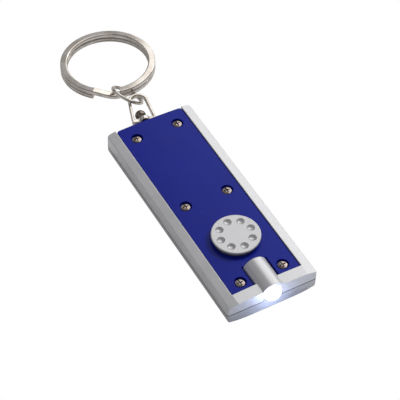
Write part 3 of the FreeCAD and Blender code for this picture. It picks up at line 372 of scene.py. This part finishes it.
# ---------------------------------------------------------------- push button
# A round ABS cap with eight dimples for the thumb, lacquered like the case and a little glossier from use.
# It goes in from above: its rim lies over the plate's hole, and four snap hooks hold it under the plate.

BUTTON_GLOSS = (0.28, 0.36)
BUTTON_SILVER = silver_lacquer("button silver lacquer", (0.54, 0.54, 0.55, 1), (0.64, 0.64, 0.65, 1),
                               BUTTON_GLOSS)
dress(BUTTON_SILVER, "push_button")

# ---------------------------------------------------------------- cover screws
# Six small self-tapping screws of blackened steel with a cross recess, worn bright on their crowns; the
# bright crowns and edges are partly painted glints, and the recess is darkened with painted shade.

# The recess and the rim round the head get painted shade, near black.
RECESS_SHADE_RATE = 2.4                          # how fast the cross recess and the rim go dark
RECESS_PAINTED_SHADE = (0.018, 0.013, 0.012, 1)


def screw_finish():
    """Blackened steel with bright crowns and edges, partly worn and partly painted glints, and painted shade
    in the recess.
    """
    material, tree, shader = finish("screw steel")
    skin = use(tree, SKIN, Cloud_Scale=900.0)
    rub = use(tree, RUB, Width=0.00018, Patch_Scale=1500.0)["Mask"]
    # The pale tone of the crowns and the bright rubbed edges are partly real wear and partly painted glints.
    tone = blend(tree, skin["Cloud"], (0.22, 0.17, 0.145, 1), (0.60, 0.50, 0.45, 1))
    worn = blend(tree, rub, tone, (0.88, 0.85, 0.82, 1))
    # Painted shade: the cross recess and the rim go near black where ambient occlusion finds them shut in.
    shut = calc(tree, use(tree, GAPS, Reach=0.0007)["Mask"], RECESS_SHADE_RATE, "MULTIPLY")
    recess_shaded = blend(tree, shut, worn, RECESS_PAINTED_SHADE)
    bump = add(tree, "Bump", None, Strength=0.15, Distance=0.00002, Height=skin["Peel"]).outputs[0]
    put(tree, shader, Base_Color=recess_shaded, Roughness=spread(tree, skin["Cloud"], 0.14, 0.26), Normal=bump,
        Metallic=1.0)
    return material


dress(screw_finish(), "cover_screws")

# ---------------------------------------------------------------- swivel and rings
# The turned pin that spins in the case's end, the stirrup on it, a jump ring and the split ring.
# All are nickel-plated steel: warm and bright, darkened in the gaps where fingers don't reach, which is
# tarnish and painted shade together.

RUBBED_NICKEL, TARNISH_AND_SHADE = (0.80, 0.78, 0.75, 1), (0.05, 0.038, 0.03, 1)


def nickel_plate(name, deep, pale):
    """Polished nickel plate with hairlines, bright edges, and tarnish and painted shade in the gaps."""
    material, tree, shader = finish(name)
    skin = use(tree, SKIN, Peel_Scale=1300.0, Cloud_Scale=240.0)
    lines = use(tree, LINES, Turn=0.9, Length=140.0, Fineness=4200.0)["Mask"]
    rub = use(tree, RUB, Width=0.00016, Patch_Scale=900.0)["Mask"]
    tone = blend(tree, skin["Cloud"], deep, pale)
    marked = blend(tree, calc(tree, lines, 0.25, "MULTIPLY"), tone, tuple(0.7 * c for c in deep[:3]) + (1,))
    bright = blend(tree, calc(tree, rub, 0.3, "MULTIPLY"), marked, RUBBED_NICKEL)
    # Tarnish and painted shade: the gaps between turns and links go near black.
    aged_and_shaded = blend(tree, use(tree, GAPS)["Mask"], bright, TARNISH_AND_SHADE)
    rough = calc(tree, spread(tree, skin["Cloud"], 0.07, 0.13), calc(tree, lines, 0.08, "MULTIPLY"))
    bump = add(tree, "Bump", None, Strength=0.03, Distance=0.00003, Height=skin["Peel"]).outputs[0]
    put(tree, shader, Base_Color=aged_and_shaded, Roughness=rough, Normal=bump, Metallic=1.0)
    return material


dress(nickel_plate("nickel plate", (0.54, 0.485, 0.42, 1), (0.80, 0.755, 0.70, 1)),
      "swivel_stirrup", "jump_ring", "split_ring")
# The pin's nickel is given a much darker colour than the stirrup's and the rings'.
dress(nickel_plate("dark pin nickel", (0.13, 0.095, 0.075, 1), (0.30, 0.25, 0.21, 1)), "swivel_pin")

# ---------------------------------------------------------------- studio
# A pale floor under a white background, one big soft light behind on the right with a small key light by it,
# a weak side light that the gloss catches, dim grey bands of light all round, and the LED's own spill.

FLOOR_HALF = 2.0
FLOOR_TONE, FLOOR_GLOW = (0.66, 0.66, 0.67, 1), 0.13


def floor_finish():
    """Matt and faintly lit for the object. The camera looks through it, so a ring below it is seen."""
    material = bpy.data.materials.new("studio floor")
    material.use_nodes = True
    tree = material.node_tree
    tree.nodes.clear()
    paper = add(tree, "BsdfDiffuse", None, Color=FLOOR_TONE).outputs[0]
    lit = add(tree, "Emission", None, Color=(1, 1, 1, 1), Strength=FLOOR_GLOW).outputs[0]
    matt = add(tree, "AddShader", None, i0=paper, i1=lit).outputs[0]
    clear = add(tree, "BsdfTransparent").outputs[0]
    share = add(tree, "LightPath").outputs["Is Camera Ray"]
    both = tree.nodes.new("ShaderNodeMixShader")
    for socket, source in zip(both.inputs, (share, matt, clear)):
        tree.links.new(source, socket)
    tree.links.new(both.outputs[0], tree.nodes.new("ShaderNodeOutputMaterial").inputs[0])
    return material


ground = bmesh.new()
bmesh.ops.create_grid(ground, x_segments=1, y_segments=1, size=FLOOR_HALF)
floor_mesh = bpy.data.meshes.new("studio_floor")
ground.to_mesh(floor_mesh)
ground.free()
floor_mesh.materials.append(floor_finish())
floor = bpy.data.objects.new("studio_floor", floor_mesh)
bpy.context.scene.collection.objects.link(floor)


def lamp(name, kind, place, target, energy, colour, **sizes):
    """A light that looks from a place at a target."""
    data = bpy.data.lights.new(name, kind)
    data.energy = energy
    data.color = colour
    for key, value in sizes.items():
        setattr(data, key, value)
    lamp_object = bpy.data.objects.new(name, data)
    lamp_object.location = place
    lamp_object.rotation_euler = (Vector(target) - Vector(place)).to_track_quat("-Z", "Y").to_euler()
    lamp_object.visible_camera = False
    bpy.context.scene.collection.objects.link(lamp_object)
    return lamp_object


WHITE, WARM_WHITE, LED_BLUE = (1.0, 1.0, 1.0), (1.0, 0.995, 0.985), (0.50, 0.61, 1.0)
CASE_MIDDLE = (0, 0, 0)
lamp("soft box", "AREA", place=(0.3564, 0.2659, 0.3999), target=(-0.0156, -0.0341, 0.0399), energy=1.34,
     colour=WARM_WHITE, shape="RECTANGLE", size=0.53, size_y=0.70)
key = lamp("key light", "AREA", place=(0.42, 0.10, 0.40), target=CASE_MIDDLE, energy=1.3, colour=WHITE,
           shape="DISK", size=0.07)
key.visible_glossy = False
lamp("side light", "AREA", place=(0.54, 0.19, 0.31), target=CASE_MIDDLE, energy=0.20, colour=WHITE,
     shape="DISK", size=0.16)
LED_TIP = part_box("led_lens")[0]
SPILL_PAST_TIP, SPILL_HEIGHT = 4.0 * MM, 2.4 * MM
lamp("LED spill", "POINT", place=(0, LED_TIP.y - SPILL_PAST_TIP, SPILL_HEIGHT), target=(0, -1, 0),
     energy=0.0021, colour=LED_BLUE, shadow_soft_size=1.6 * MM)

world = bpy.data.worlds.new("studio")
bpy.context.scene.world = world
world.use_nodes = True
world_tree = world.node_tree

SKY_BANDS = ((0.0, 0.62), (0.14, 0.50), (0.22, 0.12), (0.40, 0.16),     # height above the horizon, grey
             (0.56, 0.46), (0.68, 0.42), (0.78, 0.25), (1.0, 0.22))
SKY_COOLNESS = 1.03                            # blue over red
sky_direction = add(world_tree, "TexCoord").outputs["Generated"]
height = add(world_tree, "SeparateXYZ", None, Vector=sky_direction).outputs["Z"]
bands = world_tree.nodes.new("ShaderNodeValToRGB")
world_tree.links.new(height, bands.inputs[0])
stops = bands.color_ramp.elements
for place, grey in SKY_BANDS:
    stop = stops.new(place) if 0 < place < 1 else stops[-1 if place else 0]
    stop.color = (grey, grey, grey * SKY_COOLNESS, 1)
camera_ray = add(world_tree, "LightPath").outputs["Is Camera Ray"]
seen = blend(world_tree, camera_ray, bands.outputs[0], (1, 1, 1, 1))
world_tree.links.new(seen, world_tree.nodes["Background"].inputs[0])

camera_data = bpy.data.cameras.new("camera")
camera_data.sensor_width = 36.0
camera_data.lens = 144.0
camera_data.clip_start = 0.01
camera = bpy.data.objects.new("camera", camera_data)
bpy.context.scene.collection.objects.link(camera)
camera.matrix_world = Matrix((
    (0.8746077, 0.3538303, -0.3314596, -0.1292468),
    (-0.4844712, 0.6641599, -0.5693675, -0.2180686),
    (0.0186827, 0.6585558, 0.7522999, 0.2956044),
    (0, 0, 0, 1),
))
bpy.context.scene.camera = camera
bpy.context.scene.view_settings.view_transform = "Standard"
